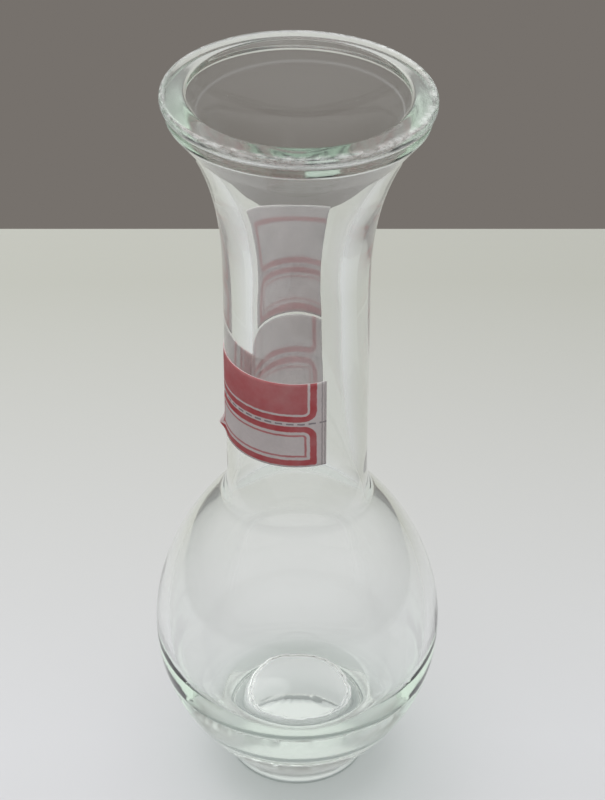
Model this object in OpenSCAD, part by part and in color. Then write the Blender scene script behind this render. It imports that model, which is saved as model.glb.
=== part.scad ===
// Bud vase of clear pressed and blown glass: a round bulb on a small foot,
// a thick straight neck, a trumpet mouth with a stepped ring for a rim,
// and two small blank paper labels round the neck.
// The base rests on z = 0, +Z is up and the front of the vase looks along -Y.

/* [Overall] */
// Height from the table to the top of the rim
height = 171.5; // [150:0.5:195]

/* [Foot] */
// Diameter of the foot
foot_d = 32.4; // [28:0.2:36]
// Height of the foot up to where the bulb starts
foot_h = 2.2; // [1.8:0.1:4]
// Radius of the rounded heel
heel_r = 1.2; // [0.5:0.1:1.6]
// Width of the flat ring that the vase stands on
stand_w = 2.2; // [1.5:0.1:3]
// How much narrower the pushed-up hollow is at its top
punt_taper = 0.4; // [0.2:0.1:1.5]
// Radius of the rounded edge at the top of the hollow
punt_round = 1; // [0.5:0.1:2]
// Rise of the top of the hollow in its middle
punt_dome = 0.5; // [0:0.1:1]

/* [Bulb] */
// Greatest diameter of the bulb
bulb_d = 63.8; // [54:0.2:70]
// Height of the widest place
bulb_z = 38; // [34:0.5:44]
// Height at which the bulb has run into the neck
shoulder_z = 83; // [78:0.5:88]
// Slope of the wall where it leaves the foot, in degrees
foot_slope = 62; // [45:1:75]
// Slope of the shoulder where it turns into the neck, in degrees
shoulder_slope = 52; // [45:1:65]
// Thickness of the wall at the widest place
bulb_wall = 2.6; // [1.5:0.1:3.5]
// Height of the lowest place of the inside floor
floor_z = 15.9; // [14:0.1:18]
// Thickness of the glass between the hollow and that place
base_wall = 1.9; // [1.5:0.1:3]
// Rise of the floor from there to its middle
mound_h = 1.6; // [0:0.1:2.5]
// Diameter of the low ring round the mound of the floor
mound_d = 33.2; // [28:0.4:36]

/* [Neck] */
// Outside diameter of the neck
neck_d = 30.2; // [27:0.2:34]
// Inside diameter of the neck
bore_d = 18.6; // [14:0.2:21]
// Height at which the bore starts to widen downwards
bore_low_z = 117; // [110:0.5:122]
// Thickness of the wall at the shoulder
shoulder_wall = 3; // [1.4:0.1:3.6]

/* [Mouth] */
// Height at which the outside starts to open out
flare_z = 128; // [124:0.5:134]
// Outside diameter of the flare under the rim
flare_d = 45; // [40:0.5:48]
// Inside diameter at the lip
mouth_d = 43.8; // [38:0.2:46]
// Inside diameter at the foot of the straight part below the lip
throat_d = 40.4; // [34:0.2:42]
// Height of the straight part below the lip
throat_h = 3.8; // [2.5:0.1:5]

/* [Rim] */
// Diameter of the top ring
rim_d = 54; // [51:0.2:58]
// Height of the top ring
ring_h = 2.4; // [1.8:0.1:3.5]
// Radius of the rounded edges of the top ring
ring_round = 0.9; // [0.4:0.1:1.1]
// Diameter of the groove below the ring
groove_d = 50.8; // [49:0.2:53]
// Diameter of the bead below the groove
bead_d = 52.2; // [51:0.2:56]
// Radius of the bead
bead_r = 1.2; // [0.8:0.1:1.6]
// Drop from the top of the rim to the middle of the bead
bead_drop = 4.2; // [3.8:0.1:5.5]
// Drop from the top of the rim to where the flare starts
rim_drop = 9.3; // [8:0.1:11]

/* [Labels] */
// Height of the lower paper label
label_h = 21; // [14:0.5:22]
// Height of the upper paper label
back_label_h = 28; // [14:0.5:30]
// Thickness of the paper
paper = 0.15; // [0.1:0.01:0.3]
// Gap between paper and glass, filled by the glue
glue = 0.03; // [0.02:0.01:0.1]
// Height of the lower edge of the lower label
label_z = 92.2; // [86:0.1:95]
// Gap between the two labels
label_gap = 0.6; // [0.3:0.1:2]
// Where the lower label ends on the right, in degrees from the front
label_right_angle = 23.6; // [10:0.5:40]
// How far the lower label runs round the neck, in degrees
label_wrap_angle = 236; // [120:1:300]
// Width of the upper label round the back, in degrees
back_wrap_angle = 97; // [60:1:120]

/* [Hidden] */
$fn = 96;

foot_r = foot_d / 2;
bulb_r = bulb_d / 2;
neck_r = neck_d / 2;
bore_r = bore_d / 2;
rim_r = rim_d / 2;
rim_base_z = height - rim_drop;

// Steps in each curved stretch of the outline
steps = 14;
// Steps in each small rounded edge
round_steps = 6;
// How strongly the outside opens out, and the inside
flare_power = 2.6;
funnel_power = 1.9;
// Where along the shoulder's height the outside turns towards the neck
turn_share = 0.8;
// How far the shoulder stands out from the neck there
turn_out_share = 0.13;
// Pull of each end of a curve, as a share of its height
foot_pull_share = 0.6;
belly_pull_share = 1.55;
turn_pull_share = 0.5;
neck_pull_share = 1.2;
bore_pull_share = 0.5;
floor_pull_share = 0.5;
// Where the front of the vase lies
front_angle = -90;

// Smooth curve that leaves p along u and reaches q along v, without the point p
function curve(p, u, q, v) = [
    for (i = [1 : steps]) let (t = i / steps)
        p * (1 + 2 * t) * pow(1 - t, 2)
        + u * t * pow(1 - t, 2)
        + q * t * t * (3 - 2 * t)
        - v * t * t * (1 - t)
];

// Arc round c from angle a to angle b
function arc(c, r, a, b) = [
    for (i = [0 : round_steps]) let (w = a + (b - a) * i / round_steps)
        c + r * [cos(w), sin(w)]
];

// Direction at a slope above the horizontal, outwards, and in towards the axis
function slope(a) = [cos(a), sin(a)];
function lean(a) = [-cos(a), sin(a)];

// Outside radius of the neck and flare at height z
function skin_r(z) = neck_r
    + (flare_d / 2 - neck_r) * pow(max(0, z - flare_z) / (rim_base_z - flare_z), flare_power);

// Inside radius of the bore and funnel at height z
throat_z = height - throat_h;
function funnel_r(z) = bore_r
    + (throat_d / 2 - bore_r) * pow(max(0, z - flare_z) / (throat_z - flare_z), funnel_power);

// Hollow pushed up under the foot, from the middle of its top outwards and down
punt_z = floor_z - base_wall;
punt_r = foot_r - heel_r - stand_w;
punt_edge = punt_r - punt_taper - punt_round;
function punt_line() = concat(
    [[0, punt_z + punt_dome]],
    curve([0, punt_z + punt_dome], [punt_edge, 0], [punt_edge, punt_z], [punt_edge, -punt_dome]),
    arc([punt_edge, punt_z - punt_round], punt_round, 90, 0),
    [[punt_r, 0]]
);

// Foot and bulb from the heel up to the neck
turn_z = bulb_z + (shoulder_z - bulb_z) * turn_share;
turn_r = neck_r + (bulb_r - neck_r) * turn_out_share;
foot_top = [foot_r, foot_h];
belly = [bulb_r, bulb_z];
turn = [turn_r, turn_z];
function bulb_line() = concat(
    arc([foot_r - heel_r, heel_r], heel_r, -90, 0),
    [foot_top],
    curve(foot_top, slope(foot_slope) * (bulb_z - foot_h) * foot_pull_share,
        belly, [0, (bulb_z - foot_h) * belly_pull_share]),
    curve(belly, [0, (turn_z - bulb_z) * belly_pull_share],
        turn, lean(shoulder_slope) * (turn_z - bulb_z) * turn_pull_share),
    curve(turn, lean(shoulder_slope) * (shoulder_z - turn_z),
        [neck_r, shoulder_z], [0, (shoulder_z - turn_z) * neck_pull_share])
);

// Flare up to the rim
function flare_line() = [
    for (i = [0 : steps]) let (z = flare_z + (rim_base_z - flare_z) * i / steps)
        [skin_r(z), z]
];

// Stepped rim: bead, groove and top ring, up to the inner edge of the lip
bead_z = height - bead_drop;
ring_low_z = height - ring_h;
groove_z = (bead_z + ring_low_z) / 2;
lip_round = ring_round / 2;
function rim_line() = concat(
    arc([bead_d / 2 - bead_r, bead_z], bead_r, -50, 40),
    [[groove_d / 2, groove_z + lip_round]],
    arc([rim_r - ring_round, ring_low_z + ring_round], ring_round, -60, 0),
    arc([rim_r - ring_round, height - ring_round], ring_round, 0, 90),
    arc([mouth_d / 2 + lip_round, height - lip_round], lip_round, 90, 180)
);

// Inside from the throat down to the bore, then to the belly and the floor
inner_belly = [bulb_r - bulb_wall, bulb_z];
inner_turn = turn - slope(90 - shoulder_slope) * shoulder_wall;
floor_edge = [mound_d / 2, floor_z];
function inside_line() = concat(
    [for (i = [0 : steps]) let (z = throat_z - (throat_z - flare_z) * i / steps)
        [funnel_r(z), z]],
    [[bore_r, bore_low_z]],
    curve([bore_r, bore_low_z], [0, (turn_z - bore_low_z) * bore_pull_share],
        inner_turn, -lean(shoulder_slope) * (bore_low_z - turn_z) * bore_pull_share),
    curve(inner_turn, -lean(shoulder_slope) * (turn_z - bulb_z) * turn_pull_share,
        inner_belly, [0, (bulb_z - turn_z) * belly_pull_share]),
    curve(inner_belly, [0, (floor_z - bulb_z) * belly_pull_share],
        floor_edge, [(mound_d / 2 - bulb_r) * floor_pull_share, 0]),
    curve(floor_edge, [-mound_d / 2, 0], [0, floor_z + mound_h], [-mound_d / 2, 0])
);

module vase_body() {
    color([0.78, 0.88, 0.84, 0.45])
        rotate_extrude()
            polygon(concat(punt_line(), bulb_line(), flare_line(), rim_line(), inside_line()));
}

// Strip of paper round the neck, h tall from height z, between two angles from the front
module paper_strip(z, h, from, wrap) {
    heights = [for (i = [0 : steps]) z + h * i / steps];
    near = [for (at = heights) [skin_r(at) + glue, at]];
    far = [for (i = [steps : -1 : 0]) [skin_r(heights[i]) + glue + paper, heights[i]]];
    color([0.86, 0.85, 0.84])
        rotate([0, 0, front_angle + from])
            rotate_extrude(angle = wrap)
                polygon(concat(near, far));
}

module front_label() {
    paper_strip(label_z, label_h, label_right_angle - label_wrap_angle, label_wrap_angle);
}

module back_label() {
    paper_strip(label_z + label_h + label_gap, back_label_h,
        label_right_angle - label_wrap_angle, back_wrap_angle);
}

vase_body();
front_label();
back_label();
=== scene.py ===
# Clear glass bud vase with blank paper labels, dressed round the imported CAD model.
# Sizes are in millimetres until MM turns them into metres.
import math

import bpy
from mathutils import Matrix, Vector, noise


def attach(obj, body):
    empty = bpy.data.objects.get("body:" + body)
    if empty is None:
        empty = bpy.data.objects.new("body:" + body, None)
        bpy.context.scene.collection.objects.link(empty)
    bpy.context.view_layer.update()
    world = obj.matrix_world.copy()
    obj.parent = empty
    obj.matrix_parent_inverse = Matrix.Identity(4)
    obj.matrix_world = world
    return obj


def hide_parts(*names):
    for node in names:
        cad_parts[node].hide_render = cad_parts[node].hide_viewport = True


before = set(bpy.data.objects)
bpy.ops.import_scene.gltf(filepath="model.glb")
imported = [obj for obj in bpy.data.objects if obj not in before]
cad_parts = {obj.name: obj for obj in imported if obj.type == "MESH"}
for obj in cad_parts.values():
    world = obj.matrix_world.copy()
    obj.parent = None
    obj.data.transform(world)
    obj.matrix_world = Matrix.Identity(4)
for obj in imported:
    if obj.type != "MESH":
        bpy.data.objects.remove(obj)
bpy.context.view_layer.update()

MM = 0.001

# Sizes of the vase, the same as the source of the CAD model has
HEIGHT = 171.5
FOOT_R, FOOT_H, HEEL_R = 16.2, 2.2, 1.2
STAND_W, PUNT_TAPER, PUNT_ROUND, PUNT_DOME = 2.2, 0.4, 1.0, 0.5
BULB_R, BULB_Z, SHOULDER_Z = 31.9, 38.0, 83.0
FOOT_SLOPE, SHOULDER_SLOPE = 62, 52
BULB_WALL, SHOULDER_WALL, BASE_WALL = 2.6, 3.0, 1.9
FLOOR_Z, MOUND_H, MOUND_R = 15.9, 1.6, 16.6
NECK_R, BORE_R, BORE_LOW_Z = 15.1, 9.3, 117.0
FLARE_Z, FLARE_R, FLARE_POWER = 128.0, 22.5, 2.6
MOUTH_R, THROAT_R, THROAT_H, FUNNEL_POWER = 21.9, 20.2, 3.8, 1.9
RIM_R, RING_H, RING_ROUND = 27.0, 2.4, 0.9
GROOVE_R, BEAD_OUT_R, BEAD_R = 25.4, 26.1, 1.2
BEAD_DROP, RIM_DROP = 4.2, 9.3
LABEL_H, BACK_LABEL_H, LABEL_Z, LABEL_GAP = 21.0, 28.0, 92.2, 0.6
PAPER, GLUE = 0.15, 0.03
LABEL_RIGHT, LABEL_WRAP, BACK_WRAP = 23.6, 236.0, 97.0
# Shares and pulls of the curves
TURN_SHARE, TURN_OUT_SHARE = 0.8, 0.13
FOOT_PULL, BELLY_PULL, TURN_PULL, NECK_PULL = 0.6, 1.55, 0.5, 1.2
BORE_PULL, FLOOR_PULL = 0.5, 0.5

PUNT_R = FOOT_R - HEEL_R - STAND_W
PUNT_TOP_R = PUNT_R - PUNT_TAPER
PUNT_DEPTH = FLOOR_Z - BASE_WALL
RIM_BASE_Z = HEIGHT - RIM_DROP
THROAT_Z = HEIGHT - THROAT_H

# Fineness of the meshes
SEGMENTS = 192
CURVE_STEPS, ARC_STEPS = 26, 10
WALL_STEP = 2.4
RIM_STEP = 0.2
RIM_SMOOTHING = 4


# Profile of the glass

def skin_r(z):
    """Outside radius of the neck and flare at height z."""
    rise = max(0.0, z - FLARE_Z) / (RIM_BASE_Z - FLARE_Z)
    return NECK_R + (FLARE_R - NECK_R) * rise ** FLARE_POWER


def funnel_r(z):
    """Inside radius of the bore and funnel at height z."""
    rise = max(0.0, z - FLARE_Z) / (THROAT_Z - FLARE_Z)
    return BORE_R + (THROAT_R - BORE_R) * rise ** FUNNEL_POWER


def slope(degrees):
    """Direction at a slope above the horizontal."""
    a = math.radians(degrees)
    return Vector((math.cos(a), math.sin(a)))


def curve(p, u, q, v):
    """Smooth curve that leaves p along u and reaches q along v, without p."""
    p, u, q, v = Vector(p), Vector(u), Vector(q), Vector(v)
    out = []
    for i in range(1, CURVE_STEPS + 1):
        t = i / CURVE_STEPS
        out.append(
            p * (1 + 2 * t) * (1 - t) ** 2
            + u * t * (1 - t) ** 2
            + q * t * t * (3 - 2 * t)
            - v * t * t * (1 - t)
        )
    return out


def arc(centre, radius, start, end):
    """Points of an arc between two angles in degrees."""
    out = []
    for i in range(ARC_STEPS + 1):
        out.append(Vector(centre) + slope(start + (end - start) * i / ARC_STEPS) * radius)
    return out


def punt_line():
    """Push-up under the foot: a slightly domed top, a rounded edge and a steep side."""
    edge = (PUNT_TOP_R - PUNT_ROUND, PUNT_DEPTH - PUNT_ROUND)
    top = (edge[0], PUNT_DEPTH)
    return (
        [Vector((0, PUNT_DEPTH + PUNT_DOME))]
        + curve((0, PUNT_DEPTH + PUNT_DOME), (edge[0], 0), top, (edge[0], -PUNT_DOME))
        + arc(edge, PUNT_ROUND, 90, 0)
        + curve((PUNT_TOP_R, edge[1]), (0, -edge[1]), (PUNT_R, 0), (0, -edge[1]))
    )


TURN_Z = BULB_Z + (SHOULDER_Z - BULB_Z) * TURN_SHARE
TURN = Vector((NECK_R + (BULB_R - NECK_R) * TURN_OUT_SHARE, TURN_Z))
BELLY = Vector((BULB_R, BULB_Z))
LEAN = slope(180 - SHOULDER_SLOPE)


def bulb_line():
    """Heel, foot, bulb and shoulder up to the neck."""
    foot_top = (FOOT_R, FOOT_H)
    low, mid, high = BULB_Z - FOOT_H, TURN_Z - BULB_Z, SHOULDER_Z - TURN_Z
    return (
        arc((FOOT_R - HEEL_R, HEEL_R), HEEL_R, -90, 0)
        + [Vector(foot_top)]
        + curve(foot_top, slope(FOOT_SLOPE) * low * FOOT_PULL, BELLY, (0, low * BELLY_PULL))
        + curve(BELLY, (0, mid * BELLY_PULL), TURN, LEAN * mid * TURN_PULL)
        + curve(TURN, LEAN * high, (NECK_R, SHOULDER_Z), (0, high * NECK_PULL))
    )


def straight(radius_at, low, high, step):
    """Points from low to high along a wall, without the first."""
    count = max(1, round(abs(high - low) / step))
    out = []
    for i in range(1, count + 1):
        z = low + (high - low) * i / count
        out.append(Vector((radius_at(z), z)))
    return out


def rim_line():
    """Bead, groove and top ring, over the lip to the throat."""
    bead_z, ring_low = HEIGHT - BEAD_DROP, HEIGHT - RING_H
    lip = RING_ROUND / 2
    ring_x = RIM_R - RING_ROUND
    return (
        [Vector((FLARE_R, RIM_BASE_Z))]
        + arc((BEAD_OUT_R - BEAD_R, bead_z), BEAD_R, -50, 40)
        + [Vector((GROOVE_R, (bead_z + ring_low) / 2 + lip))]
        + arc((ring_x, ring_low + RING_ROUND), RING_ROUND, -60, 0)
        + arc((ring_x, HEIGHT - RING_ROUND), RING_ROUND, 0, 90)
        + arc((MOUTH_R + lip, HEIGHT - lip), lip, 90, 180)
        + [Vector((THROAT_R, THROAT_Z))]
    )


def evenly(points, step):
    """The same line with points an even step apart."""
    out, left = [points[0]], step
    for a, b in zip(points, points[1:]):
        length = (b - a).length
        while length > left:
            a = a + (b - a) * (left / length)
            out.append(a)
            length, left = (b - a).length, step
        left -= length
    out.append(points[-1])
    return out


def melted(points, passes):
    """The line with its corners softened, as fire polishing leaves them."""
    for _ in range(passes):
        points = (
            [points[0]]
            + [(a + b * 2 + c) / 4 for a, b, c in zip(points, points[1:], points[2:])]
            + [points[-1]]
        )
    return points


def inside_line():
    """Funnel, bore, inside of the bulb and floor with its mound."""
    inner_belly = BELLY - Vector((BULB_WALL, 0))
    inner_turn = TURN - slope(90 - SHOULDER_SLOPE) * SHOULDER_WALL
    floor_edge = (MOUND_R, FLOOR_Z)
    mid, low = TURN_Z - BULB_Z, FLOOR_Z - BULB_Z
    pull = BORE_LOW_Z - TURN_Z
    return (
        straight(funnel_r, THROAT_Z, FLARE_Z, WALL_STEP / 2)
        + straight(funnel_r, FLARE_Z, BORE_LOW_Z, WALL_STEP)
        + curve((BORE_R, BORE_LOW_Z), (0, -pull * BORE_PULL), inner_turn, -LEAN * pull * BORE_PULL)
        + curve(inner_turn, -LEAN * mid * TURN_PULL, inner_belly, (0, -mid * BELLY_PULL))
        + curve(inner_belly, (0, low * BELLY_PULL), floor_edge, ((MOUND_R - BULB_R) * FLOOR_PULL, 0))
        + curve(floor_edge, (-MOUND_R, 0), (0, FLOOR_Z + MOUND_H), (-MOUND_R, 0))
    )


# Unevenness of hand-finished glass

# Slow waves of the outside and of the inside, and where each has grown to its full height
SKIN_WAVE, SKIN_WAVE_FROM, SKIN_WAVE_IN = 0.05, 3, 10
INNER_WAVE, INNER_WAVE_IN = 0.1, 12
WAVE_SIZE, WAVE_UPRIGHT = 11.0, 0.7
# Fine ripple of the inside
RIPPLE, RIPPLE_SIZE, RIPPLE_PLACE = 0.006, 2.2, Vector((9, 4, 2))
# Slope of the rim from side to side, and how many millimetres it stands off the axis
RIM_TILT, RIM_LEAN = -0.0222, 0.5
# Jagged upper edge of the hollow: coarse and fine depth, their fineness and place in the noise
PUNT_JAG, PUNT_JAG_PITCH, PUNT_JAG_PLACE = 1.3, 1.6, 3
PUNT_FINE, PUNT_FINE_PITCH, PUNT_FINE_PLACE = 0.6, 6, 8
# Share of the hollow's height where the jag starts, and how far past its radius it reaches
JAG_FROM, JAG_EDGE = 0.7, 0.4


def smooth(x):
    """Soft step from 0 to 1."""
    x = min(1.0, max(0.0, x))
    return x * x * (3 - 2 * x)


def uneven(point, inner):
    """Moves a point of the vase off the exact form, as the real glass is."""
    x, y, z = point
    r = math.hypot(x, y)
    if r > 0:
        wave = noise.noise(Vector((x, y, z * WAVE_UPRIGHT)) / WAVE_SIZE)
        ripple = noise.noise(Vector((x, y, z)) / RIPPLE_SIZE + RIPPLE_PLACE)
        if inner:
            push = INNER_WAVE * wave * smooth((z - FLOOR_Z) / INNER_WAVE_IN) + RIPPLE * ripple
        else:
            push = SKIN_WAVE * wave * smooth((z - SKIN_WAVE_FROM) / SKIN_WAVE_IN)
        x, y = x * (1 + push / r), y * (1 + push / r)
    if not inner and r < PUNT_R + JAG_EDGE:
        a = math.atan2(y, x)
        coarse = Vector((math.cos(a), math.sin(a), PUNT_JAG_PLACE)) * PUNT_JAG_PITCH
        fine = Vector((math.cos(a), math.sin(a), PUNT_FINE_PLACE)) * PUNT_FINE_PITCH
        jag = PUNT_JAG * noise.noise(coarse) + PUNT_FINE * noise.noise(fine)
        share = smooth(r / PUNT_R) * smooth((z / PUNT_DEPTH - JAG_FROM) / (1 - JAG_FROM))
        x, y = x + math.cos(a) * jag * share, y + math.sin(a) * jag * share
    top = smooth((z - FLARE_Z) / (RIM_BASE_Z - FLARE_Z))
    return Vector((x + RIM_LEAN * top, y, z + RIM_TILT * x * top))


# Meshes

def make(name, verts, faces, slots, slot_of=None):
    """A piece from its points in millimetres."""
    mesh = bpy.data.meshes.new(name)
    mesh.from_pydata([v * MM for v in verts], [], faces)
    for material in slots:
        mesh.materials.append(material)
    mesh.polygons.foreach_set("use_smooth", [True] * len(faces))
    if slot_of:
        mesh.polygons.foreach_set("material_index", slot_of)
    mesh.update()
    piece = bpy.data.objects.new(name, mesh)
    bpy.context.scene.collection.objects.link(piece)
    return piece


def turned(line, inner_from):
    """Points and faces of the line turned about the axis; both its ends lie on it."""
    verts, faces = [], []
    rings = line[1:-1]
    for i, (r, z) in enumerate(rings):
        for k in range(SEGMENTS):
            a = 2 * math.pi * k / SEGMENTS
            p = Vector((r * math.cos(a), r * math.sin(a), z))
            verts.append(uneven(p, i + 1 >= inner_from))
    for i in range(len(rings) - 1):
        for k in range(SEGMENTS):
            n = (k + 1) % SEGMENTS
            a, b = i * SEGMENTS, (i + 1) * SEGMENTS
            faces.append((a + k, a + n, b + n, b + k))
    last = (len(rings) - 1) * SEGMENTS
    for end, base, flip in ((line[0], 0, True), (line[-1], last, False)):
        tip = len(verts)
        verts.append(uneven(Vector((0, 0, end[1])), not flip))
        for k in range(SEGMENTS):
            n = (k + 1) % SEGMENTS
            faces.append((tip, base + n, base + k) if flip else (tip, base + k, base + n))
    return verts, faces


# Materials

# Sockets of the colour mixing node
MIX_FACTOR, MIX_A, MIX_B = 0, 6, 7
# Range that a noise keeps to, nearly everywhere
NOISE = (0.3, 0.7)


class Tree:
    """Short calls for building the nodes of a material or of the world."""

    def __init__(self, owner):
        owner.use_nodes = True
        self.material = owner
        self.tree = owner.node_tree
        self.tree.nodes.clear()

    def node(self, kind, inputs=(), **settings):
        made = self.tree.nodes.new(kind)
        for key, value in settings.items():
            setattr(made, key, value)
        for key, value in dict(inputs).items():
            self.feed(made.inputs[key], value)
        return made

    def feed(self, socket, value):
        if isinstance(value, bpy.types.NodeSocket):
            self.tree.links.new(value, socket)
        elif value is not None:
            socket.default_value = value

    def math(self, operation, a, b=None, c=None):
        made = self.node("ShaderNodeMath", operation=operation)
        for socket, value in zip(made.inputs, (a, b, c)):
            self.feed(socket, value)
        return made.outputs[0]

    def mix(self, factor, a, b):
        made = self.node("ShaderNodeMix", data_type="RGBA")
        for socket, value in ((MIX_FACTOR, factor), (MIX_A, a), (MIX_B, b)):
            self.feed(made.inputs[socket], value)
        return made.outputs[2]

    def noise(self, where, scale, detail=3.0, roughness=0.55):
        inputs = {"Vector": where, "Scale": scale, "Detail": detail, "Roughness": roughness}
        return self.node("ShaderNodeTexNoise", inputs).outputs["Fac"]

    def spread(self, value, low, high, to_low, to_high):
        inputs = {"Value": value, "From Min": low, "From Max": high}
        inputs.update({"To Min": to_low, "To Max": to_high})
        return self.node("ShaderNodeMapRange", inputs).outputs["Result"]

    def distance(self, x, y):
        squares = self.math("ADD", self.math("MULTIPLY", x, x), self.math("MULTIPLY", y, y))
        return self.math("SQRT", squares)

    def bump(self, height, strength, distance):
        inputs = {"Height": height, "Strength": strength, "Distance": distance}
        return self.node("ShaderNodeBump", inputs).outputs["Normal"]

    def place(self):
        return self.node("ShaderNodeTexCoord").outputs["Object"]


# Clean and smudged glass, how dull a smudge is, and fine seeds under the surface
GLASS_CLEAN, GLASS_SMUDGED = (0.999, 1.0, 0.999, 1), (0.994, 0.996, 0.994, 1)
GLASS_IOR = 1.5
SMUDGE_SCALE, SMUDGE_TINT_AT, SMUDGE_AT = 55.0, (0.35, 0.7), (0.5, 0.75)
SMUDGE_DULL = 0.025
SEED_SCALE, SEED_STRENGTH, SEED_DEPTH = 420.0, 0.012, 0.0002
# Green tint of the glass where it is deep
GLASS_DEPTH_COLOUR, GLASS_DENSITY = (0.56, 0.84, 0.59, 1), 5.5
# Light that passes each face of the glass into its shadow, where it is thin and at the heavy foot
THIN_SHADOW, HEAVY_SHADOW = (0.985, 0.994, 0.99, 1), (0.77, 0.79, 0.775, 1)
HEAVY_Z, HEAVY_R = (9.0, 15.0), (PUNT_R - 0.4, PUNT_R + 0.8)
# Soft, less than polished surface of the rim
SATIN_Z, SATIN_R, SATIN = (163.0, 165.0), (21.2, 21.8), 0.15
# Dull side of the hollow under the foot, up to this height
HOLLOW_TOP, HOLLOW_SATIN = 12.9, 0.3
# Whitish bloom on the outer edge of the rim, in streaks that run round it: partly real wear, partly a
# painted highlight standing in for the white glints of the rim
BLOOM_Z, BLOOM_R, BLOOM_AND_HIGHLIGHT = (168.7, 169.5), (25.2, 26.3), (0.08, 0.6)
BLOOM_ROUND, BLOOM_UP, BLOOM_SCALE, BLOOM_AT = 0.9, 200.0, 14.0, (0.38, 0.66)
BLOOM_HIGHLIGHT_COLOUR = (0.8, 0.81, 0.8, 1)
# Faint pale line inside the mouth, where the tool that opened it stopped; its whiteness is a painted
# highlight on the tool mark
TOOL_LINE_W, TOOL_LINE_SOFT, TOOL_LINE_HIGHLIGHT = 0.2, 0.3, 0.15


def glass_material():
    """Clear glass; its shadow is soft light let through instead of bent rays."""
    t = Tree(bpy.data.materials.new("clear_glass"))
    where = t.place()
    smudges = t.noise(where, SMUDGE_SCALE, 4.0)
    seeds = t.noise(where, SEED_SCALE, 1.0)
    parts = t.node("ShaderNodeSeparateXYZ", {0: where}).outputs
    out = t.distance(parts[0], parts[1])
    edge = t.math("MULTIPLY", t.spread(parts[2], SATIN_Z[0] * MM, SATIN_Z[1] * MM, 0.0, 1.0),
                  t.spread(out, SATIN_R[0] * MM, SATIN_R[1] * MM, 0.0, 1.0))
    hollow = t.math("MULTIPLY", t.math("LESS_THAN", out, (PUNT_R + STAND_W) * MM),
                    t.math("LESS_THAN", parts[2], HOLLOW_TOP * MM))
    satin = t.math("MULTIPLY_ADD", hollow, HOLLOW_SATIN, t.math("MULTIPLY", edge, SATIN))
    smudged = t.spread(smudges, *SMUDGE_TINT_AT, 0, 1)
    surface = t.node("ShaderNodeBsdfPrincipled", {
        "Base Color": t.mix(smudged, GLASS_CLEAN, GLASS_SMUDGED),
        "Roughness": t.math("ADD", satin, t.spread(smudges, *SMUDGE_AT, 0.0, SMUDGE_DULL)),
        "IOR": GLASS_IOR,
        "Transmission Weight": 1.0,
        "Normal": t.bump(seeds, SEED_STRENGTH, SEED_DEPTH),
    })
    ring = t.spread(out, HEAVY_R[0] * MM, HEAVY_R[1] * MM, 0.0, 1.0)
    heavy = t.math("MULTIPLY", ring, t.spread(parts[2], HEAVY_Z[0] * MM, HEAVY_Z[1] * MM, 1.0, 0.0))
    clear = t.node("ShaderNodeBsdfTransparent", {"Color": t.mix(heavy, THIN_SHADOW, HEAVY_SHADOW)})
    around = t.math("MULTIPLY", t.math("ARCTAN2", parts[1], parts[0]), BLOOM_ROUND)
    streaks = t.node("ShaderNodeCombineXYZ", {0: around, 2: t.math("MULTIPLY", parts[2], BLOOM_UP)})
    worn = t.spread(t.noise(streaks.outputs[0], BLOOM_SCALE, 4.0), *BLOOM_AT, *BLOOM_AND_HIGHLIGHT)
    high = t.spread(parts[2], BLOOM_Z[0] * MM, BLOOM_Z[1] * MM, 0.0, 1.0)
    rim = t.math("MULTIPLY", high, t.spread(out, BLOOM_R[0] * MM, BLOOM_R[1] * MM, 0.0, 1.0))
    # Painted highlight: a pale diffuse ring along the tool line inside the mouth
    line = stripe(t, parts[2], THROAT_Z * MM, TOOL_LINE_W * MM, TOOL_LINE_SOFT * MM)
    line = t.math("MULTIPLY", line, t.math("LESS_THAN", out, MOUTH_R * MM))
    wear_and_highlight = t.math("MULTIPLY_ADD", line, TOOL_LINE_HIGHLIGHT, t.math("MULTIPLY", rim, worn))
    # Whitish diffuse finish on the rim's edge and on the tool line: real wear and a tool mark, with
    # painted highlights
    bloom_and_highlight = t.node("ShaderNodeBsdfDiffuse", {"Color": BLOOM_HIGHLIGHT_COLOUR})
    face = t.node("ShaderNodeMixShader", {0: wear_and_highlight, 1: surface.outputs[0], 2: bloom_and_highlight.outputs[0]})
    path = t.node("ShaderNodeLightPath")
    both = t.node("ShaderNodeMixShader", {
        0: path.outputs["Is Shadow Ray"],
        1: face.outputs[0],
        2: clear.outputs[0],
    })
    tint = t.node("ShaderNodeVolumeAbsorption", {"Color": GLASS_DEPTH_COLOUR, "Density": GLASS_DENSITY})
    t.node("ShaderNodeOutputMaterial", {"Surface": both.outputs[0], "Volume": tint.outputs[0]})
    return t.material


# Print on the labels: two rows of blank framed cells, in millimetres from the right end
# and the lower edge, with the radius of the lower and the upper corners of each row
CELL_W, CELL_PITCH, CELL_RIGHT = 27.7, 30.4, 2.15
LOW_ROW, LOW_ROUND = (0.5, 10.4), (0.4, 3.0)
HIGH_ROW, HIGH_ROUND = (11.6, 24.0), (2.6, 0.4)
# Frame, the thin line inside the lower cells, and the filled head block up to BLOCK_END
BAND, LINE, LINE_IN, LINE_INK = 1.3, 0.32, 2.3, 0.85
BLOCK_IN, BLOCK_INK, BLOCK_END = (-1.95, -1.8), 0.88, 30.5
# Dashed tear line between the rows, and the two fine marks at the cut end with their widths
DASH_V, DASH_W, DASH, DASH_PITCH, DASH_INK = 11.0, 0.25, 1.5, 2.3, 0.75
CUT_MARKS, CUT_INK = ((0.35, 0.14), (0.95, 0.2)), 0.6
EDGE_SOFT = 0.12
UV_SCALE = 0.01
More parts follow.
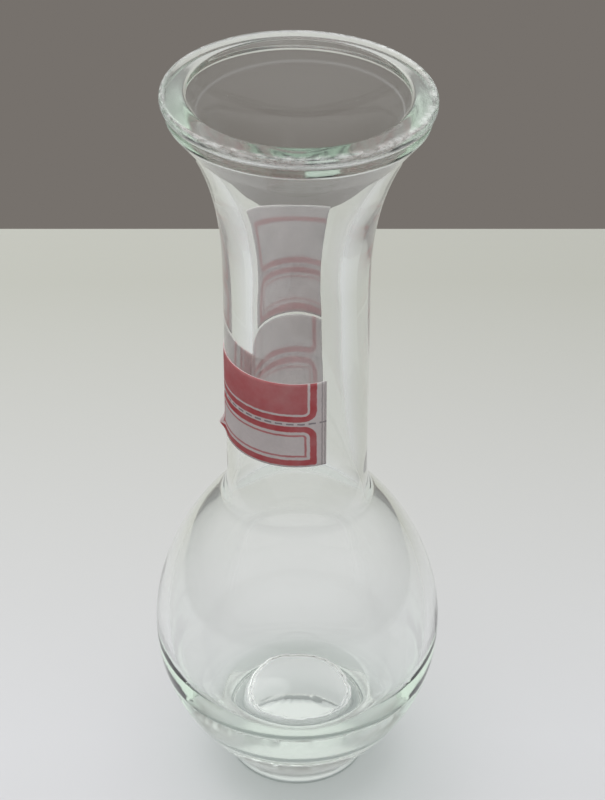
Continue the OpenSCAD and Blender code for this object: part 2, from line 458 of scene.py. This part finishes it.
# Bleed of the ink, wear of the print, and grain and mottling of the paper
BLEED_SCALE, BLEED = 900.0, 0.06
WEAR_SCALE, WEAR = 260.0, 0.82
GRAIN_SCALE, GRAIN_AT, GRAIN_SHARE, GRAIN_DARK = 1500.0, (0.35, 0.65), 0.3, 0.84
MOTTLE_SCALE, MOTTLE_DARK = 90.0, 0.9
PAPER_ROUGH, PAPER_BUMP, PAPER_RELIEF = (0.62, 0.8), 0.25, 0.00004
# Share of the light that passes through the paper, and how strongly the print colours it
SEE_THROUGH, SHOW_THROUGH = 0.63, 0.7
# Ink, paper, red and dark on the printed side and on the glued side
PRINTED = (1.0, (0.96, 0.9, 0.9, 1), (0.62, 0.01, 0.03, 1), (0.15, 0.11, 0.15, 1))
GLUED = (0.15, (1.0, 0.96, 0.965, 1), (0.85, 0.42, 0.46, 1), (0.5, 0.45, 0.5, 1))


def cell_distance(t, u, v, row, rounds):
    """Distance in millimetres outside a cell's rounded edge, negative inside it."""
    round_low, round_high = rounds
    half_w, half_h = CELL_W / 2, (row[1] - row[0]) / 2
    along = t.math("WRAP", t.math("SUBTRACT", u, CELL_RIGHT + half_w), CELL_PITCH / 2, -CELL_PITCH / 2)
    up = t.math("SUBTRACT", v, row[0] + half_h)
    above = t.math("GREATER_THAN", up, 0.0)
    corner = t.math("MULTIPLY_ADD", above, round_high - round_low, round_low)
    qx = t.math("ADD", t.math("SUBTRACT", t.math("ABSOLUTE", along), half_w), corner)
    qy = t.math("ADD", t.math("SUBTRACT", t.math("ABSOLUTE", up), half_h), corner)
    out_x, out_y = t.math("MAXIMUM", qx, 0.0), t.math("MAXIMUM", qy, 0.0)
    outside = t.distance(out_x, out_y)
    inside = t.math("MINIMUM", t.math("MAXIMUM", qx, qy), 0.0)
    return t.math("SUBTRACT", t.math("ADD", outside, inside), corner)


def stripe(t, distance, middle, width, soft=EDGE_SOFT):
    """1 where distance is within half the width of middle."""
    off = t.math("ABSOLUTE", t.math("SUBTRACT", distance, middle))
    return t.spread(off, width / 2, width / 2 + soft, 1.0, 0.0)


def label_material(name, ink, paper_colour, red, dark):
    """Paper with red frames; ink is how strongly the print shows on this side."""
    t = Tree(bpy.data.materials.new(name))
    uv = t.node("ShaderNodeUVMap", uv_map="print").outputs["UV"]
    where = t.place()
    parts = t.node("ShaderNodeSeparateXYZ", {0: uv})
    bleed = t.spread(t.noise(where, BLEED_SCALE, 2.0), *NOISE, -BLEED, BLEED)
    u = t.math("ADD", t.math("DIVIDE", parts.outputs[0], UV_SCALE), bleed)
    v = t.math("ADD", t.math("DIVIDE", parts.outputs[1], UV_SCALE), bleed)
    low = cell_distance(t, u, v, LOW_ROW, LOW_ROUND)
    high = cell_distance(t, u, v, HIGH_ROW, HIGH_ROUND)
    frames = t.math("MAXIMUM", stripe(t, low, -BAND / 2, BAND), stripe(t, high, -BAND / 2, BAND))
    line = t.math("MULTIPLY", stripe(t, low, -LINE_IN, LINE), LINE_INK)
    frames = t.math("MAXIMUM", frames, line)
    filled = t.spread(high, *BLOCK_IN, BLOCK_INK, 0.0)
    block = t.math("MULTIPLY", filled, t.math("LESS_THAN", u, BLOCK_END))
    frames = t.math("MAXIMUM", frames, block)
    dash = t.math("LESS_THAN", t.math("MODULO", u, DASH_PITCH), DASH)
    dashes = t.math("MULTIPLY", stripe(t, v, DASH_V, DASH_W), dash)
    cut_marks = t.math("MAXIMUM", *[stripe(t, u, at, width) for at, width in CUT_MARKS])
    dashes = t.math("MAXIMUM", dashes, t.math("MULTIPLY", cut_marks, CUT_INK))
    worn = t.spread(t.noise(where, WEAR_SCALE, 4.0), *NOISE, WEAR, 1.0)
    red_share = t.math("MULTIPLY", t.math("MULTIPLY", frames, worn), ink)
    grain = t.noise(where, GRAIN_SCALE, 2.0)
    mottle = t.noise(where, MOTTLE_SCALE, 3.0)
    mottled = [c * MOTTLE_DARK for c in paper_colour[:3]] + [1]
    grained = [c * GRAIN_DARK for c in paper_colour[:3]] + [1]
    pale = t.mix(t.spread(mottle, *NOISE, 0, 1), paper_colour, mottled)
    pale = t.mix(t.spread(grain, *GRAIN_AT, 0.0, GRAIN_SHARE), pale, grained)
    inked = t.mix(red_share, pale, red)
    inked = t.mix(t.math("MULTIPLY", dashes, DASH_INK * ink), inked, dark)
    surface = t.node("ShaderNodeBsdfPrincipled", {
        "Base Color": inked,
        "Roughness": t.spread(grain, *NOISE, *PAPER_ROUGH),
        "Normal": t.bump(grain, PAPER_BUMP, PAPER_RELIEF),
    })
    through = t.node("ShaderNodeBsdfTranslucent", {"Color": t.mix(SHOW_THROUGH, pale, inked)})
    sides = {0: SEE_THROUGH, 1: surface.outputs[0], 2: through.outputs[0]}
    sheet = t.node("ShaderNodeMixShader", sides)
    t.node("ShaderNodeOutputMaterial", {"Surface": sheet.outputs[0]})
    return t.material


# Glass

outer = punt_line() + bulb_line()
outer += straight(skin_r, SHOULDER_Z, FLARE_Z, WALL_STEP)
outer += straight(skin_r, FLARE_Z, RIM_BASE_Z, WALL_STEP / 2)
rim = melted(evenly(rim_line(), RIM_STEP), RIM_SMOOTHING)[1:]
throat_at = len(outer) + len(rim)
profile = outer + rim + inside_line()
glass = glass_material()
vessel = make("vase_glass", *turned(profile, throat_at), [glass])
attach(vessel, "root")
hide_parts("vase_body")


# Paper labels

# Fineness of the strips, in degrees and in millimetres, and how far they sink into the glass
LABEL_STEP, LABEL_ROW = 1.2, 0.6
SUNK = 0.02
# Crease that stands off at the left: its angle, half width, height, level and reach
CREASE_AT, CREASE_WIDTH, CREASE_H = -84.0, 2.5, 1.2
CREASE_Z, CREASE_REACH = 94.2, 1.3
# Slight waves of the paper: height, and their size in degrees and in millimetres
PAPER_WAVE, PAPER_WAVE_ROUND, PAPER_WAVE_UP = 0.03, 9, 5


def label(name, low_z, height, start, wrap, creased, first_cell, slots):
    """A strip of paper round the neck from angle start, in degrees from the front.

    Its first layer lies on the glass and its second carries the print.
    """
    columns = round(wrap / LABEL_STEP)
    rows = round(height / LABEL_ROW)
    verts, faces, slot_of, uvs = [], [], [], []
    for side in (0, 1):
        for i in range(columns + 1):
            turn = start + wrap * i / columns
            a = math.radians(turn - 90)
            for j in range(rows + 1):
                z = low_z + height * j / rows
                lift = 0.0
                if creased:
                    reach = math.exp(-((turn - CREASE_AT) / CREASE_WIDTH) ** 2)
                    lift = CREASE_H * reach * math.exp(-((z - CREASE_Z) / CREASE_REACH) ** 2)
                wave = noise.noise(Vector((turn / PAPER_WAVE_ROUND, z / PAPER_WAVE_UP, low_z)))
                off = GLUE + PAPER + abs(PAPER_WAVE * wave) if side else -SUNK
                r = skin_r(z) + off + lift
                verts.append(uneven(Vector((r * math.cos(a), r * math.sin(a), z)), False))
                along = math.radians(start + wrap - turn) * (NECK_R + GLUE)
                along += first_cell * CELL_PITCH
                uvs.append((along * UV_SCALE, (z - low_z) * UV_SCALE))
    row, layer = rows + 1, (columns + 1) * (rows + 1)
    for i in range(columns):
        for j in range(rows):
            a, b = i * row + j, (i + 1) * row + j
            faces.append((a, a + 1, b + 1, b))
            slot_of.append(1)
            faces.append((layer + a, layer + b, layer + b + 1, layer + a + 1))
            slot_of.append(0)
    for i in range(columns):
        a, b = i * row, (i + 1) * row
        faces.append((a, b, layer + b, layer + a))
        faces.append((a + rows, layer + a + rows, layer + b + rows, b + rows))
        slot_of += [1, 1]
    for j in range(rows):
        a, b = j, columns * row + j
        faces.append((a, layer + a, layer + a + 1, a + 1))
        faces.append((b, b + 1, layer + b + 1, layer + b))
        slot_of += [1, 1]
    piece = make(name, verts, faces, slots, slot_of)
    layer_uv = piece.data.uv_layers.new(name="print")
    for loop in piece.data.loops:
        layer_uv.data[loop.index].uv = uvs[loop.vertex_index]
    return piece


printed = label_material("label_print", *PRINTED)
reverse = label_material("label_reverse", *GLUED)
start = LABEL_RIGHT - LABEL_WRAP
front = label("paper_front", LABEL_Z, LABEL_H, start, LABEL_WRAP, True, 0, [printed, reverse])
back_z = LABEL_Z + LABEL_H + LABEL_GAP
back = label("paper_back", back_z, BACK_LABEL_H, start, BACK_WRAP, False, 1, [printed, reverse])
for piece, node in ((front, "front_label"), (back, "back_label")):
    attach(piece, "root")
    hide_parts(node)


# Table, backdrop, light and camera

TABLE_BACK, TABLE_SIDE, TABLE_FRONT, TABLE_THICK = 232.0, 270.0, 700.0, 18.0
# Painted light on the table inside the foot: a paler colour standing in for the light that the base
# gathers there
PAINTED_GLOW_R, PAINTED_GLOW_COLOUR = (11.5, 12.8), (0.97, 0.98, 0.97, 1)
# Tones of the table at the vase and at TABLE_FADE metres behind it, and faint clouds in them
TABLE_NEAR, TABLE_FAR, TABLE_FADE = (0.615, 0.62, 0.635, 1), (0.42, 0.425, 0.385, 1), 0.2
CLOUD_SCALE, CLOUD_SHARE, CLOUD = 9.0, 0.04, (0.5, 0.5, 0.5, 1)
TABLE_ROUGH, TABLE_SPECULAR = 0.6, 0.2


def table_material():
    """Plain pale laminate, darker at the back, with a pool of light painted inside the foot."""
    t = Tree(bpy.data.materials.new("pale_table"))
    where = t.place()
    parts = t.node("ShaderNodeSeparateXYZ", {0: where})
    far = t.spread(parts.outputs[1], 0.0, TABLE_FADE, 0.0, 1.0)
    cloud = t.noise(where, CLOUD_SCALE, 3.0)
    tone = t.mix(far, TABLE_NEAR, TABLE_FAR)
    tone = t.mix(t.spread(cloud, *NOISE, 0.0, CLOUD_SHARE), tone, CLOUD)
    from_axis = t.node("ShaderNodeVectorMath", {0: where}, operation="LENGTH").outputs["Value"]
    # Painted light: the table colour turns paler within the foot's hollow
    tone = t.mix(t.spread(from_axis, PAINTED_GLOW_R[0] * MM, PAINTED_GLOW_R[1] * MM, 1.0, 0.0), tone, PAINTED_GLOW_COLOUR)
    surface = t.node("ShaderNodeBsdfPrincipled", {
        "Base Color": tone,
        "Roughness": TABLE_ROUGH,
        "Specular IOR Level": TABLE_SPECULAR,
    })
    t.node("ShaderNodeOutputMaterial", {"Surface": surface.outputs[0]})
    return t.material


corners = [(-TABLE_SIDE, -TABLE_FRONT), (TABLE_SIDE, -TABLE_FRONT)]
corners += [(TABLE_SIDE, TABLE_BACK), (-TABLE_SIDE, TABLE_BACK)]
slab = [Vector((x, y, z)) for z in (-TABLE_THICK, 0) for x, y in corners]
sides = [(k, (k + 1) % 4, (k + 1) % 4 + 4, k + 4) for k in range(4)]
table = make("table", slab, [(3, 2, 1, 0), (4, 5, 6, 7)] + sides, [table_material()])
table.data.polygons.foreach_set("use_smooth", [False] * 6)

# Grey wall behind the table, and how far it reaches back, up and to the sides
BACKDROP = (0.181, 0.165, 0.15, 1)
WALL_BACK, WALL_UP, WALL_SIDE = (0.0, 0.3), (0.1, 0.45), (0.3, 0.6)
# Room elsewhere, which turns pale from floor to ceiling
ROOM_LOW, ROOM_HIGH, ROOM_UP = (0.3, 0.31, 0.3, 1), (0.88, 0.89, 0.88, 1), (0.02, 0.4)
# Window that the glass reflects
WINDOW = (2.6, 2.65, 2.6, 1)
WINDOW_AT = Vector((-0.35, 0.62, 0.7)).normalized()
WINDOW_EDGE = (0.955, 0.975)
# Even light on everything that isn't glass
LIGHT_FRONT, LIGHT_BACK, LIGHT_LEVEL = (1.0, 1.0, 1.0, 1), (1.15, 1.15, 1.13, 1), 0.42


def studio():
    """A grey wall behind the table, a pale room elsewhere, and even light."""
    world = bpy.data.worlds.new("studio")
    world.cycles.sampling_method = "NONE"
    t = Tree(world)
    direction = t.node("ShaderNodeTexCoord").outputs["Generated"]
    axes = t.node("ShaderNodeSeparateXYZ", {0: direction})
    back, up = axes.outputs[1], axes.outputs[2]
    room = t.mix(t.spread(up, *ROOM_UP, 0.0, 1.0), ROOM_LOW, ROOM_HIGH)
    wall = t.math("MULTIPLY", t.spread(back, *WALL_BACK, 0.0, 1.0), t.spread(up, *WALL_UP, 1.0, 0.0))
    sideways = t.math("ABSOLUTE", axes.outputs[0])
    wall = t.math("MULTIPLY", wall, t.spread(sideways, *WALL_SIDE, 1.0, 0.0))
    toward = t.node("ShaderNodeVectorMath", {0: direction, 1: WINDOW_AT}, operation="DOT_PRODUCT")
    window = t.spread(toward.outputs["Value"], *WINDOW_EDGE, 0.0, 1.0)
    view = t.mix(window, t.mix(wall, room, BACKDROP), WINDOW)
    shown = t.node("ShaderNodeBackground", {"Color": view})
    soft = t.mix(t.spread(back, -1.0, 1.0, 0.0, 1.0), LIGHT_FRONT, LIGHT_BACK)
    light = t.node("ShaderNodeBackground", {"Color": soft, "Strength": LIGHT_LEVEL})
    path = t.node("ShaderNodeLightPath").outputs
    bent = t.math("ADD", path["Is Glossy Ray"], path["Is Transmission Ray"])
    eye = t.math("MINIMUM", t.math("ADD", path["Is Camera Ray"], bent), 1.0)
    eye = t.math("MULTIPLY", eye, t.math("LESS_THAN", path["Diffuse Depth"], 0.5))
    joined = t.node("ShaderNodeMixShader", {0: eye, 1: light.outputs[0], 2: shown.outputs[0]})
    t.node("ShaderNodeOutputWorld", {0: joined.outputs[0]})
    return world


bpy.context.scene.world = studio()

# Name, place, aim and size in metres, and power in watts of each soft lamp
LAMPS = (
    ("window", (-0.1, 0.1, 1.1), (0, 0, 0.05), 0.8, 8.2),
    ("fill", (-0.3, 0.8, 0.3), (0, 0, 0.1), 0.6, 3.5),
)


def lamp(name, place, aim, size, power):
    """A round soft lamp that the glass doesn't show."""
    data = bpy.data.lights.new(name, "AREA")
    data.shape, data.size, data.energy = "DISK", size, power
    made = bpy.data.objects.new(name, data)
    made.location = place
    made.rotation_euler = (Vector(aim) - Vector(place)).to_track_quat("-Z", "Y").to_euler()
    made.visible_transmission = False
    made.visible_glossy = False
    bpy.context.scene.collection.objects.link(made)


for settings in LAMPS:
    lamp(*settings)

# The lens gives 2200 pixels of focal length on a picture 800 pixels tall, as the photo has
SENSOR, LENS = 36.0, 99.0
CAMERA_AT, CAMERA_DOWN = (0.00119, -0.3779, 0.3697), 35.67
camera = bpy.data.objects.new("camera", bpy.data.cameras.new("camera"))
camera.data.sensor_width, camera.data.lens = SENSOR, LENS
camera.location = CAMERA_AT
camera.rotation_euler = (math.radians(90 - CAMERA_DOWN), 0, 0)
bpy.context.scene.collection.objects.link(camera)
bpy.context.scene.camera = camera

scene = bpy.context.scene
scene.view_settings.view_transform = "Standard"
scene.cycles.max_bounces = 24
scene.cycles.glossy_bounces = 12
scene.cycles.transmission_bounces = 20
scene.cycles.transparent_max_bounces = 16
